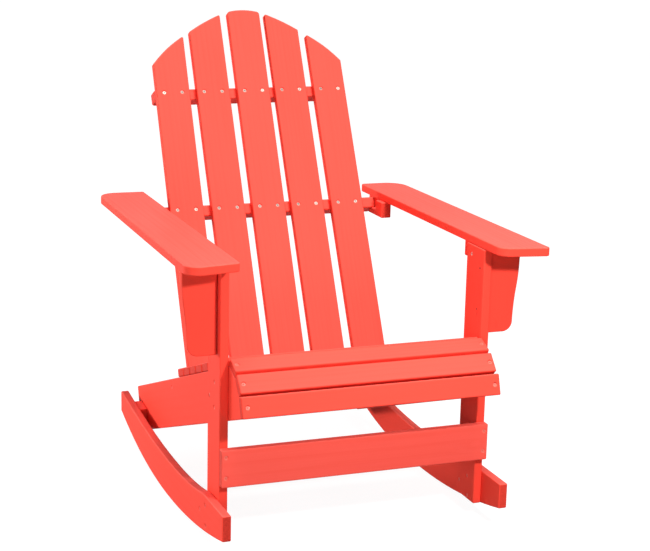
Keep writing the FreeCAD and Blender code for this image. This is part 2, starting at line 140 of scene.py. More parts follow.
def scaled(tree: bpy.types.NodeTree, vector: bpy.types.NodeSocket, factors: Triple) -> bpy.types.NodeSocket:
    """Multiplies a vector by three fixed factors.

    Args:
        tree: the node tree that gets the node.
        vector: the vector to scale.
        factors: one factor per axis.

    Returns:
        The scaled vector.
    """
    made = node(tree, "ShaderNodeVectorMath", operation="MULTIPLY")
    link(tree, vector, made.inputs[0])
    made.inputs[1].default_value = factors
    return made.outputs[0]


def ramp(tree: bpy.types.NodeTree, value: bpy.types.NodeSocket, span: Span) -> bpy.types.NodeSocket:
    """Maps a value smoothly to 0..1.

    Args:
        tree: the node tree that gets the node.
        value: the value to map.
        span: the values that become 0 and 1.

    Returns:
        The mapped value.
    """
    made = node(tree, "ShaderNodeMapRange", interpolation_type="SMOOTHSTEP")
    link(tree, value, made.inputs["Value"])
    made.inputs["From Min"].default_value, made.inputs["From Max"].default_value = span
    return made.outputs["Result"]


def inverse(tree: bpy.types.NodeTree, value: bpy.types.NodeSocket) -> bpy.types.NodeSocket:
    """Returns 1 minus a value."""
    return maths(tree, "SUBTRACT", 1.0, value)


def noise(tree: bpy.types.NodeTree, vector: bpy.types.NodeSocket, cells: Triple, detail: float,
          roughness: float = 0.5) -> bpy.types.NodeSocket:
    """Adds a cloudy noise.

    Args:
        tree: the node tree that gets the nodes.
        vector: the coordinates.
        cells: how many clouds lie on a metre along each axis.
        detail: how many finer layers there are.
        roughness: how strong each finer layer is.

    Returns:
        The noise, about 0.5 in the mean.
    """
    made = node(tree, "ShaderNodeTexNoise")
    made.inputs["Scale"].default_value = 1.0
    made.inputs["Detail"].default_value = detail
    made.inputs["Roughness"].default_value = roughness
    link(tree, scaled(tree, vector, cells), made.inputs["Vector"])
    return made.outputs[0]


def part_of_normal(tree: bpy.types.NodeTree, axis: int,
                   turned: Triple = (0.0, 0.0, 0.0)) -> bpy.types.NodeSocket:
    """Reads how far the surface faces along an axis.

    Args:
        tree: the node tree that gets the nodes.
        axis: 0, 1 or 2 for X, Y or Z.
        turned: the turn that the normal gets first.

    Returns:
        The normal's part along the axis, -1 to 1.
    """
    surface = node(tree, "ShaderNodeNewGeometry")
    turn = node(tree, "ShaderNodeMapping", vector_type="VECTOR")
    turn.inputs["Rotation"].default_value = turned
    link(tree, surface.outputs["Normal"], turn.inputs["Vector"])
    split = node(tree, "ShaderNodeSeparateXYZ")
    link(tree, turn.outputs[0], split.inputs[0])
    return split.outputs[axis]


@dataclass(frozen=True)
class Timber:
    """Figure of the planed softwood: cells per metre along and across the grain, widths in metres."""

    knot_cells: Triple = (3.1, 8.5, 8.5)
    knot_bend: Span = (0.02, 0.20)
    knot_eye: Span = (0.03, 0.055)
    sway_cells: Triple = (1.1, 6.0, 6.0)
    sway_width: float = 0.009
    bend_width: float = 0.012
    depth_slant: float = 0.55
    late_wood: Span = (0.45, 0.97)
    fibre_cells: Triple = (14.0, 620.0, 620.0)
    fibre_roughness: float = 0.62
    brush_cells: Triple = (5.0, 210.0, 210.0)
    late_height: float = 0.12
    fibre_height: float = 0.40
    brush_height: float = 0.55
    knot_height: float = 0.8
    late_streak: float = 0.22
    brush_streak: float = 0.78


@dataclass(frozen=True)
class EdgeFilmAndHighlight:
    """Where an edge is painted lighter, as thin film and as a painted highlight: how sharp the turn is and
    how the mask breaks up.
    """

    turn: Span = (0.02, 0.16)
    patch_cells: Triple = (60.0, 60.0, 60.0)
    patch: Span = (0.42, 0.66)
    samples: int = 6


@dataclass
class ShaderKit:
    """Node groups that more than one board uses, each built once."""

    timber: Timber = field(default_factory=Timber)
    edge_film_and_highlight: EdgeFilmAndHighlight = field(default_factory=EdgeFilmAndHighlight)
    groups: dict[str, bpy.types.NodeTree] = field(default_factory=dict)

    def _new(self, name: str, inputs: dict[str, tuple[str, float | None]],
             outputs: tuple[str, ...]) -> tuple[bpy.types.NodeTree, bpy.types.Node, bpy.types.Node]:
        """Makes an empty group with its sockets.

        Args:
            name: the group's name.
            inputs: socket name to kind and default value.
            outputs: names of the values that it puts out.

        Returns:
            The new group with its input and output nodes.
        """
        tree = bpy.data.node_groups.new(name, "ShaderNodeTree")
        for label, (kind, value) in inputs.items():
            made = tree.interface.new_socket(name=label, in_out="INPUT", socket_type=kind)
            if value is not None:
                made.default_value = value
        for label in outputs:
            tree.interface.new_socket(name=label, in_out="OUTPUT", socket_type="NodeSocketFloat")
        self.groups[name] = tree
        return tree, node(tree, "NodeGroupInput"), node(tree, "NodeGroupOutput")

    def _knots(self, tree: bpy.types.NodeTree, vector: bpy.types.NodeSocket,
               share: bpy.types.NodeSocket) -> tuple[bpy.types.NodeSocket, bpy.types.NodeSocket]:
        """Scatters knots over the pattern.

        Args:
            tree: the grain's tree.
            vector: its coordinates.
            share: how many of the cells hold a knot.

        Returns:
            How strongly a knot bends the rings around it, and the mask of its eye.
        """
        cells = node(tree, "ShaderNodeTexVoronoi", feature="F1", distance="EUCLIDEAN")
        cells.inputs["Scale"].default_value = 1.0
        link(tree, scaled(tree, vector, self.timber.knot_cells), cells.inputs["Vector"])
        pick = node(tree, "ShaderNodeSeparateColor")
        link(tree, cells.outputs["Color"], pick.inputs[0])
        chosen = maths(tree, "LESS_THAN", pick.outputs[0], share)
        near = inverse(tree, ramp(tree, cells.outputs["Distance"], self.timber.knot_bend))
        eye = inverse(tree, ramp(tree, cells.outputs["Distance"], self.timber.knot_eye))
        return maths(tree, "MULTIPLY", chosen, near), maths(tree, "MULTIPLY", chosen, eye)

    def grain(self) -> bpy.types.NodeTree:
        """Planed softwood under paint: fibres, growth rings and a few knots.

        Returns:
            The group; its pattern runs along the X axis of the vector it gets.
        """
        if "planed grain" in self.groups:
            return self.groups["planed grain"]
        timber = self.timber
        tree, start, end = self._new("planed grain",
                                     {"Vector": ("NodeSocketVector", None),
                                      "Ring Spacing": ("NodeSocketFloat", 0.011),
                                      "Knot Share": ("NodeSocketFloat", 0.3)},
                                     ("Height", "Streak", "Knot"))
        vector = start.outputs["Vector"]
        bend, knot = self._knots(tree, vector, start.outputs["Knot Share"])
        sway = noise(tree, vector, timber.sway_cells, 2.0)
        split = node(tree, "ShaderNodeSeparateXYZ")
        link(tree, vector, split.inputs[0])
        warped = weighted(tree, (split.outputs[1], 1.0), (split.outputs[2], timber.depth_slant),
                          (sway, timber.sway_width), (bend, timber.bend_width))
        turns = maths(tree, "DIVIDE", warped, start.outputs["Ring Spacing"])
        late = ramp(tree, maths(tree, "FRACT", turns), timber.late_wood)
        fibre = noise(tree, vector, timber.fibre_cells, 4.0, timber.fibre_roughness)
        brush = noise(tree, vector, timber.brush_cells, 2.0)
        height = weighted(tree, (late, timber.late_height), (fibre, timber.fibre_height),
                          (brush, timber.brush_height), (knot, timber.knot_height))
        link(tree, height, end.inputs["Height"])
        streak = weighted(tree, (late, timber.late_streak), (brush, timber.brush_streak))
        link(tree, streak, end.inputs["Streak"])
        link(tree, knot, end.inputs["Knot"])
        return tree

    def edges(self) -> bpy.types.NodeTree:
        """Mask of the softened edges, which are painted lighter: a thin film there, and a painted highlight.

        Returns:
            The group; its mask is 1 on the crest of an edge and broken up by noise.
        """
        if "edge film and highlight" in self.groups:
            return self.groups["edge film and highlight"]
        tree, start, end = self._new("edge film and highlight",
                                     {"Vector": ("NodeSocketVector", None),
                                      "Reach": ("NodeSocketFloat", 0.003)},
                                     ("Mask",))
        bevel = node(tree, "ShaderNodeBevel", samples=self.edge_film_and_highlight.samples)
        link(tree, start.outputs["Reach"], bevel.inputs["Radius"])
        surface = node(tree, "ShaderNodeNewGeometry")
        dot = node(tree, "ShaderNodeVectorMath", operation="DOT_PRODUCT")
        link(tree, bevel.outputs[0], dot.inputs[0])
        link(tree, surface.outputs["Normal"], dot.inputs[1])
        crest = ramp(tree, inverse(tree, dot.outputs["Value"]), self.edge_film_and_highlight.turn)
        patch = noise(tree, start.outputs["Vector"], self.edge_film_and_highlight.patch_cells, 3.0)
        broken = ramp(tree, patch, self.edge_film_and_highlight.patch)
        link(tree, maths(tree, "MULTIPLY", crest, broken), end.inputs["Mask"])
        return tree

    def place(self, tree: bpy.types.NodeTree, group: bpy.types.NodeTree, vector: bpy.types.NodeSocket,
              **values: float) -> bpy.types.Node:
        """Adds a group node to a material.

        Args:
            tree: the material's tree.
            group: the node group.
            vector: what feeds its Vector input.
            values: input values; an underscore in a name stands for a space.

        Returns:
            The group node.
        """
        made = node(tree, "ShaderNodeGroup")
        made.node_tree = group
        link(tree, vector, made.inputs["Vector"])
        for name, value in values.items():
            made.inputs[name.replace("_", " ")].default_value = value
        return made


def mixed(tree: bpy.types.NodeTree, factor: bpy.types.NodeSocket, first: object,
          second: object) -> bpy.types.NodeSocket:
    """Mixes two colours.

    Args:
        tree: the node tree that gets the node.
        factor: share of the second colour.
        first: a colour or a colour socket.
        second: a colour or a colour socket.

    Returns:
        The mixed colour.
    """
    made = node(tree, "ShaderNodeMix", data_type="RGBA")
    link(tree, factor, made.inputs[0])
    for slot, value in ((made.inputs[6], first), (made.inputs[7], second)):
        if isinstance(value, bpy.types.NodeSocket):
            link(tree, value, slot)
        else:
            slot.default_value = (*value, 1.0)
    return made.outputs[2]


def new_material(name: str) -> tuple[bpy.types.Material, bpy.types.NodeTree, bpy.types.Node]:
    """Makes a material with its shader.

    Args:
        name: the material's name.

    Returns:
        The material, its tree and its Principled BSDF.
    """
    made = bpy.data.materials.new(name)
    made.use_nodes = True
    tree = made.node_tree
    return made, tree, tree.nodes["Principled BSDF"]


def add_relief(tree: bpy.types.NodeTree, shader: bpy.types.Node, height: bpy.types.NodeSocket,
               depth: float) -> None:
    """Gives a material a fine relief.

    Args:
        tree: the material's tree.
        shader: its shader.
        height: the relief's pattern, 0 to about 1.
        depth: how deep it is in metres.
    """
    bump = node(tree, "ShaderNodeBump")
    bump.inputs["Distance"].default_value = depth
    link(tree, height, bump.inputs["Height"])
    link(tree, bump.outputs[0], shader.inputs["Normal"])


@dataclass(frozen=True)
class Mark:
    """A small dark knot that shows through the paint at one place on one board."""

    place: Triple
    radius: float
    height: float


@dataclass(frozen=True)
class Coat:
    """How the paint has turned out on one board.

    Thirst is how strongly the sawn ends darken. The next two set how much painted sheen lightens the whole
    board and the faces that look up; the flag after them paints shade on the faces that look down.
    """

    thirst: float = 0.55
    fade: float = 0.0
    top_sheen: float = 1.0
    shade_under: bool = False
    marks: tuple[Mark, ...] = ()


@dataclass(frozen=True)
class CoralPaint:
    """Dull coral-red paint, brushed along planed softwood boards."""

    film: Colour = (0.90, 0.065, 0.041)
    # Painted sheen: paler coral for faces that look up, standing in for the light they catch.
    top_sheen: Colour = (0.93, 0.124, 0.096)
    thick: Colour = (0.84, 0.060, 0.038)
    # Lighter coral on edge crests: thin film there, and a painted highlight.
    thin_and_highlight: Colour = (0.92, 0.105, 0.072)
    knot: Colour = (0.70, 0.048, 0.032)
    # Dark coral of the sawn ends, also laid on faces that look down as painted shade.
    sawn_end_and_shade: Colour = (0.42, 0.026, 0.017)
    mark: Colour = (0.22, 0.030, 0.022)
    thick_share: float = 0.35
    knot_share: float = 0.35
    thin_and_highlight_share: float = 0.5
    under_shade_share: float = 0.8
    streak_depth: float = 0.6
    cloud_depth: float = 0.5
    cloud_cells: Triple = (2.3, 2.3, 2.3)
    thick_from: Span = (0.30, 0.90)
    faces_up: Span = (0.1, 0.85)
    faces_down: Span = (0.15, 0.55)
    faces_end: Span = (0.82, 0.97)
    blotch_cells: Triple = (90.0, 260.0, 260.0)
    blotch_base: float = 0.45
    mark_edge: Span = (0.5, 1.2)
    ring_spacing: float = 0.010
    ring_step: float = 0.001
    ring_widths: int = 4
    knotty_cells: float = 0.24
    edge_reach: float = 0.0032
    pattern_step: Triple = (1.37, 0.731, 0.419)
    roughness: float = 0.47
    streak_roughness: float = 0.06
    gloss: float = 0.025
    relief: float = 0.00003

    def ends(self, tree: bpy.types.NodeTree, run: Run, vector: bpy.types.NodeSocket) -> bpy.types.NodeSocket:
        """Masks the sawn ends of a board, which drink the paint unevenly.

        Args:
            tree: the material's tree.
            run: which way the board's grain runs.
            vector: the pattern's coordinates.

        Returns:
            The mask.
        """
        along = maths(tree, "ABSOLUTE", part_of_normal(tree, 0, run.value))
        blotch = noise(tree, vector, self.blotch_cells, 3.0)
        return maths(tree, "MULTIPLY", ramp(tree, along, self.faces_end),
                     maths(tree, "ADD", self.blotch_base, blotch))

    def spots(self, tree: bpy.types.NodeTree, place: bpy.types.NodeSocket,
              marks: tuple[Mark, ...]) -> bpy.types.NodeSocket:
        """Masks the small knots of one board.

        Args:
            tree: the material's tree.
            place: the object coordinates.
            marks: the knots, one at least.

        Returns:
            The mask.
        """
        spots = []
        for mark in marks:
            away = node(tree, "ShaderNodeVectorMath", operation="SUBTRACT")
            link(tree, place, away.inputs[0])
            away.inputs[1].default_value = mark.place
            shape = (1.0 / mark.radius, 1.0 / mark.radius, 1.0 / mark.height)
            size = node(tree, "ShaderNodeVectorMath", operation="LENGTH")
            link(tree, scaled(tree, away.outputs[0], shape), size.inputs[0])
            spots.append(inverse(tree, ramp(tree, size.outputs["Value"], self.mark_edge)))
        mask = spots[0]
        for spot in spots[1:]:
            mask = maths(tree, "MAXIMUM", mask, spot)
        return mask

    def _brushed(self, tree: bpy.types.NodeTree, coat: Coat, vector: bpy.types.NodeSocket,
                 streak: bpy.types.NodeSocket) -> bpy.types.NodeSocket:
        """Colours the flat of a board: painted sheen lightens it where it faces up, and it is deeper where
        the brush left more.

        Args:
            tree: the material's tree.
            coat: how the paint has turned out on this board.
            vector: the pattern's coordinates.
            streak: the grain's streaks.

        Returns:
            The colour.
        """
        # Painted sheen: paler coral on faces that look up, and over the whole board where set.
        upward = maths(tree, "MULTIPLY", ramp(tree, part_of_normal(tree, 2), self.faces_up), coat.top_sheen)
        with_top_sheen = mixed(tree, maths(tree, "MAXIMUM", upward, coat.fade), self.film, self.top_sheen)
        cloud = noise(tree, vector, self.cloud_cells, 2.0)
        depth = weighted(tree, (streak, self.streak_depth), (cloud, self.cloud_depth))
        thick = maths(tree, "MULTIPLY", ramp(tree, depth, self.thick_from), self.thick_share)
        return mixed(tree, thick, with_top_sheen, self.thick)

    def material(self, kit: ShaderKit, name: str, run: Run, seed: int, coat: Coat) -> bpy.types.Material:
        """Makes the paint of one board.

        Args:
            kit: the shared node groups.
            name: the material's name.
            run: which way the board's grain runs.
            seed: shifts the pattern so that no two boards match.
            coat: how the paint has turned out on this board.

        Returns:
            The material.
        """
        made, tree, shader = new_material(name)
        coords = node(tree, "ShaderNodeTexCoord")
        turn = node(tree, "ShaderNodeMapping")
        turn.inputs["Rotation"].default_value = run.value
        turn.inputs["Location"].default_value = [step * seed for step in self.pattern_step]
        link(tree, coords.outputs["Object"], turn.inputs["Vector"])
        vector = turn.outputs[0]
        spacing = self.ring_spacing + self.ring_step * (seed % self.ring_widths)
        grain = kit.place(tree, kit.grain(), vector, Ring_Spacing=spacing, Knot_Share=self.knotty_cells)
        edge = kit.place(tree, kit.edges(), vector, Reach=self.edge_reach)
        colour = self._brushed(tree, coat, vector, grain.outputs["Streak"])
        # The edge layer lightens the crests: thin film and painted highlight.
        layers = [(grain.outputs["Knot"], self.knot_share, self.knot),
                  (self.ends(tree, run, vector), coat.thirst, self.sawn_end_and_shade),
                  (edge.outputs["Mask"], self.thin_and_highlight_share, self.thin_and_highlight)]
        if coat.marks:
            layers.append((self.spots(tree, coords.outputs["Object"], coat.marks), 1.0, self.mark))
        # Painted shade: faces that look down are darkened with the sawn ends' dark coral.
        if coat.shade_under:
            downward = maths(tree, "MULTIPLY", part_of_normal(tree, 2), -1.0)
            layers.append((ramp(tree, downward, self.faces_down), self.under_shade_share, self.sawn_end_and_shade))
        for mask, share, layer in layers:
            colour = mixed(tree, maths(tree, "MULTIPLY", mask, share), colour, layer)
        link(tree, colour, shader.inputs["Base Color"])
        streaks = maths(tree, "MULTIPLY", grain.outputs["Streak"], self.streak_roughness)
        link(tree, maths(tree, "ADD", self.roughness, streaks), shader.inputs["Roughness"])
        shader.inputs["Specular IOR Level"].default_value = self.gloss
        add_relief(tree, shader, grain.outputs["Height"], self.relief)
        return made


@dataclass(frozen=True)
class ScrewSteel:
    """Zinc-plated steel, lightly stained; the warm pink of the bare steel is a painted reflection of the red
    paint round it.
    """

    # The bare steel's warm pink is a painted reflection of the red paint round it.
    bright: Colour = (0.40, 0.31, 0.27)
    stain: Colour = (0.34, 0.22, 0.18)
    film: Colour = (0.80, 0.13, 0.09)
    cells: Triple = (420.0, 420.0, 420.0)
    stained: Span = (0.48, 0.72)
    covered: Span = (0.22, 0.44)
    roughness: float = 0.50
    stain_roughness: float = 0.20
    relief: float = 0.00008

    def material(self, kind: Steel) -> bpy.types.Material:
        """Makes the steel.

        Args:
            kind: bare and bright, or dulled by paint.

        Returns:
            The material.
        """
        made, tree, shader = new_material("screw steel " + kind.value)
        coords = node(tree, "ShaderNodeTexCoord")
        cloud = noise(tree, coords.outputs["Object"], self.cells, 4.0)
        spots = ramp(tree, cloud, self.stained)
        colour = mixed(tree, spots, self.bright, self.stain)
        shader.inputs["Metallic"].default_value = 1.0
        if kind is Steel.DULLED:
            cover = ramp(tree, cloud, self.covered)
            colour = mixed(tree, cover, colour, self.film)
            link(tree, inverse(tree, cover), shader.inputs["Metallic"])
        link(tree, colour, shader.inputs["Base Color"])
        rough = maths(tree, "MULTIPLY", spots, self.stain_roughness)
        link(tree, maths(tree, "ADD", self.roughness, rough), shader.inputs["Roughness"])
        add_relief(tree, shader, cloud, self.relief)
        return made


@dataclass
class Boards:
    """All painted boards: the frame's own solids, dressed by the way their grain runs."""

    paint: CoralPaint = field(default_factory=CoralPaint)
    runs: dict[str, Run] = field(default_factory=lambda: {
        "rocker": Run.DEPTH, "arm_bracket": Run.UPRIGHT, "arm_cleat": Run.DEPTH, "arm_block": Run.DEPTH,
        "arm": Run.DEPTH, "post": Run.UPRIGHT, "stringer": Run.SEAT, "rear_spacer": Run.DEPTH,
        "front_stretcher": Run.ACROSS, "seat": Run.ACROSS, "back_slat": Run.BACK,
        "upper_back_rail": Run.ACROSS, "middle_back_rail": Run.ACROSS, "lower_back_rail": Run.ACROSS})
    # Painted sheen all over the stretcher and upper rail; painted shade under the seat boards.
    coats: dict[str, Coat] = field(default_factory=lambda: {
        "arm_left": Coat(thirst=0.1), "arm_right": Coat(thirst=0.1), "back_slat": Coat(thirst=0.3),
        "rocker_left": Coat(thirst=0.8), "rocker_right": Coat(thirst=0.5), "front_stretcher": Coat(fade=0.7),
        "upper_back_rail": Coat(fade=0.45), "seat": Coat(top_sheen=0.5, shade_under=True),
        "post_right": Coat(marks=(Mark((0.2605, -0.3155, 0.5165), 0.0028, 0.0024),
                                  Mark((0.2605, -0.3094, 0.4322), 0.0024, 0.0026),
                                  Mark((0.2605, -0.3110, 0.4240), 0.0010, 0.0080)))})

    def run_of(self, name: str) -> Run:
        """Returns the grain run of a board, by the longest matching start of its name."""
        fits = [key for key in self.runs if name.startswith(key)]
        return self.runs[max(fits, key=len)]

    def coat_of(self, name: str) -> Coat:
        """Returns the coat of a board, a plain one where none is set."""
        return next((coat for key, coat in self.coats.items() if name.startswith(key)), Coat())

    def dress(self, kit: ShaderKit, nodes: dict[str, bpy.types.Object]) -> None:
        """Paints every board of the frame.

        Args:
            kit: the shared node groups.
            nodes: the frame's objects by node name.
        """
        boards = [name for name in sorted(nodes) if not name.endswith(FASTENERS)]
        for seed, name in enumerate(boards, start=1):
            run = self.run_of(name)
            paint = self.paint.material(kit, f"coral paint {name}", run, seed, self.coat_of(name))
            piece = nodes[name]
            piece.data.materials.clear()
            piece.data.materials.append(paint)
            LOG.info("board %s, grain %s", name, run.name.lower())


@dataclass(frozen=True)
class Seat:
    """Where one screw sits: its head's middle, the way it drives in, how far, and if it has two heads."""

    head: Vector
    axis: Vector
    length: float
    through: bool


@dataclass
class Screws:
    """Countersunk cross-head screws and through bolts, made by one Geometry Nodes tree."""

    head_radius: float = 0.0039
    head_depth: float = 0.0024
    head_sides: int = 28
    shank_radius: float = 0.0019
    shank_sides: int = 14
    usual_length: float = 0.03
    slot_reach: float = 0.0021
    slot_width: float = 0.0009
    slot_block: float = 0.0032
    thread_pitch: float = 0.0024
    thread_share: float = 0.8
    thread_start: float = 0.36
    ridge_radius: float = 0.00035
    ridge_sides: int = 3
    coil_steps: int = 10
    merge_reach: float = 1e-6
    rim_slack: float = 0.0012
    rim_share: float = 0.75
    rim_points: int = 6
    bare: tuple[str, ...] = ("upper_rail_screws", "middle_rail_screws", "lower_rail_screws", "cleat_screws")
    seed: int = 7
    steel: ScrewSteel = field(default_factory=ScrewSteel)

    def read_seats(self, source: bpy.types.Object) -> list[Seat]:
        """Finds the screws of one frame node from its separate shells.

        Args:
            source: the frame's object with one shell per screw.

        Returns:
            One seat per screw head; a through bolt gives its length too.
        """
        work = bmesh.new()
        work.from_mesh(source.data)
        bmesh.ops.remove_doubles(work, verts=work.verts, dist=self.merge_reach)
        work.verts.index_update()
        seats: list[Seat] = []
        seen: set[int] = set()
        for first in work.verts:
            if first.index in seen:
                continue
            seen.add(first.index)
            shell = [first]
            for vert in shell:
                for edge in vert.link_edges:
                    other = edge.other_vert(vert)
                    if other.index not in seen:
                        seen.add(other.index)
                        shell.append(other)
            seats.append(self._seat(shell))
        work.free()
        return seats

    def _rim(self, points: list[Vector], middle: Vector, axis: Vector) -> tuple[Vector, Vector] | None:
        """Finds a head's rim at the end of a screw that the axis points to.

        Args:
            points: the screw's points.
            middle: a point near the screw's axis.
            axis: roughly the screw's direction, towards the end in question.

        Returns:
            The rim's centre and its plane's normal along the axis, or None where no head is.
        """
        along = [(point - middle).dot(axis) for point in points]
        end = max(along) - self.rim_slack
        rim = [point for point, place in zip(points, along)
               if place > end and (point - middle - axis * place).length > self.rim_share * self.head_radius]
        if len(rim) < self.rim_points:
            return None
        first = rim[0]
        second = max(rim, key=lambda point: (point - first).length)
        third = max(rim, key=lambda point: min((point - first).length, (point - second).length))
        one, two = second - first, third - first
        normal = one.cross(two)
        square = 2.0 * normal.length_squared
        to_centre = (two.length_squared * normal.cross(one) - one.length_squared * normal.cross(two)) / square
        normal.normalize()
        return first + to_centre, normal if normal.dot(axis) > 0.0 else -normal

    def _seat(self, shell: list[bmesh.types.BMVert]) -> Seat:
        """Works out one screw's seat from its points.

        Args:
            shell: the points of one screw.

        Returns:
            The seat.
        """
        points = [vert.co.copy() for vert in shell]
        cloud = np.array(points)
        middle = Vector(cloud.mean(axis=0))
        axis = Vector(np.linalg.eigh(np.cov(cloud.T))[1][:, 2])
        near = self._rim(points, middle, -axis)
        far = self._rim(points, middle, axis)
        if near and far:
            through = far[0] - near[0]
            return Seat(near[0], through.normalized(), through.length, True)
        head, normal = near or far
        return Seat(head, -normal, max((point - head).dot(-normal) for point in points), False)

    def tree(self) -> bpy.types.NodeTree:
        """Builds the screw tree.

        Returns:
            A geometry node group with the screw's sizes as named inputs.
        """
        tree = bpy.data.node_groups.new("screw at every seat", "GeometryNodeTree")
        sockets = [("Seats", "NodeSocketGeometry", None),
                   ("Head Radius", "NodeSocketFloat", self.head_radius),
                   ("Head Depth", "NodeSocketFloat", self.head_depth),
                   ("Shank Radius", "NodeSocketFloat", self.shank_radius),
                   ("Length", "NodeSocketFloat", self.usual_length),
                   ("Slot Reach", "NodeSocketFloat", self.slot_reach),
                   ("Slot Width", "NodeSocketFloat", self.slot_width),
                   ("Thread Pitch", "NodeSocketFloat", self.thread_pitch),
                   ("Seed", "NodeSocketInt", self.seed), ("Steel", "NodeSocketMaterial", None)]
        for name, kind, value in sockets:
            made = tree.interface.new_socket(name=name, in_out="INPUT", socket_type=kind)
            if value is not None:
                made.default_value = value
        tree.interface.new_socket(name="Screws", in_out="OUTPUT", socket_type="NodeSocketGeometry")
        get = node(tree, "NodeGroupInput").outputs
        end = node(tree, "NodeGroupOutput")
        body = maths(tree, "SUBTRACT", get["Length"], get["Head Depth"])
        middle = maths(tree, "ADD", get["Head Depth"], maths(tree, "MULTIPLY", body, 0.5))
        whole = node(tree, "GeometryNodeJoinGeometry")
        link(tree, self._pin(tree, get, middle, body), whole.inputs[0])
        link(tree, self._thread(tree, get, middle, body), whole.inputs[0])
        spread = node(tree, "GeometryNodeInstanceOnPoints")
        link(tree, get["Seats"], spread.inputs["Points"])
        link(tree, whole.outputs[0], spread.inputs["Instance"])
        link(tree, self._drive(tree, get), spread.inputs["Rotation"])
        real = node(tree, "GeometryNodeRealizeInstances")
        link(tree, spread.outputs["Instances"], real.inputs["Geometry"])
        steel = node(tree, "GeometryNodeSetMaterial")
        link(tree, real.outputs["Geometry"], steel.inputs["Geometry"])
        link(tree, get["Steel"], steel.inputs["Material"])
        link(tree, steel.outputs["Geometry"], end.inputs[0])
        return tree

    def _lowered(self, tree: bpy.types.NodeTree, shape: bpy.types.NodeSocket,
                 depth: bpy.types.NodeSocket) -> bpy.types.NodeSocket:
        """Moves a shape down the screw's axis.

        Args:
            tree: the screw tree.
            shape: the geometry.
            depth: how far it goes.

        Returns:
            The moved geometry.
        """
        shift = node(tree, "ShaderNodeCombineXYZ")
        link(tree, depth, shift.inputs["Z"])
        moved = node(tree, "GeometryNodeTransform")
        link(tree, shape, moved.inputs["Geometry"])
        link(tree, shift.outputs[0], moved.inputs["Translation"])
        return moved.outputs["Geometry"]

    def _pin(self, tree: bpy.types.NodeTree, get: bpy.types.bpy_prop_collection,
             middle: bpy.types.NodeSocket, body: bpy.types.NodeSocket) -> bpy.types.NodeSocket:
        """Makes a countersunk head on a plain shank, with a cross slot cut into it.

        Args:
            tree: the screw tree.
            get: the group's inputs.
            middle: the depth of the shank's middle.
            body: the shank's length.

        Returns:
            The head and shank.
        """
        head = node(tree, "GeometryNodeMeshCone", fill_type="NGON")
        head.inputs["Vertices"].default_value = self.head_sides
        link(tree, get["Shank Radius"], head.inputs["Radius Top"])
        link(tree, get["Head Radius"], head.inputs["Radius Bottom"])
        link(tree, get["Head Depth"], head.inputs["Depth"])
        shank = node(tree, "GeometryNodeMeshCylinder", fill_type="NGON")
        shank.inputs["Vertices"].default_value = self.shank_sides
        link(tree, get["Shank Radius"], shank.inputs["Radius"])
        link(tree, body, shank.inputs["Depth"])
        solid = node(tree, "GeometryNodeMeshBoolean", operation="UNION", solver="EXACT")
        link(tree, head.outputs["Mesh"], solid.inputs["Mesh 2"])
        link(tree, self._lowered(tree, shank.outputs["Mesh"], middle), solid.inputs["Mesh 2"])
        cut = node(tree, "GeometryNodeMeshBoolean", operation="DIFFERENCE", solver="EXACT")
        link(tree, solid.outputs["Mesh"], cut.inputs["Mesh 1"])
        reach = maths(tree, "MULTIPLY", get["Slot Reach"], 2.0)
        for sides in ((reach, get["Slot Width"]), (get["Slot Width"], reach)):
            size = node(tree, "ShaderNodeCombineXYZ")
            link(tree, sides[0], size.inputs["X"])
            link(tree, sides[1], size.inputs["Y"])
            size.inputs["Z"].default_value = self.slot_block
            bar = node(tree, "GeometryNodeMeshCube")
            link(tree, size.outputs[0], bar.inputs["Size"])
            link(tree, bar.outputs["Mesh"], cut.inputs["Mesh 2"])
        return cut.outputs["Mesh"]

    def _drive(self, tree: bpy.types.NodeTree, get: bpy.types.bpy_prop_collection) -> bpy.types.NodeSocket:
        """Turns each screw along its drive direction, with its slot at a random angle.

        Args:
            tree: the screw tree.
            get: the group's inputs.

        Returns:
            The rotation of each screw.
        """
        aim = node(tree, "GeometryNodeInputNamedAttribute", data_type="FLOAT_VECTOR")
        aim.inputs["Name"].default_value = "drive"
        face = node(tree, "FunctionNodeAlignRotationToVector", axis="Z")
        link(tree, aim.outputs["Attribute"], face.inputs["Vector"])
        chance = node(tree, "FunctionNodeRandomValue", data_type="FLOAT")
        chance.inputs["Max"].default_value = math.pi / 2
        link(tree, get["Seed"], chance.inputs["Seed"])
        spin = node(tree, "FunctionNodeAxisAngleToRotation")
        link(tree, chance.outputs["Value"], spin.inputs["Angle"])
        turn = node(tree, "FunctionNodeRotateRotation", rotation_space="LOCAL")
        link(tree, face.outputs["Rotation"], turn.inputs["Rotation"])
        link(tree, spin.outputs["Rotation"], turn.inputs["Rotate By"])
        return turn.outputs["Rotation"]

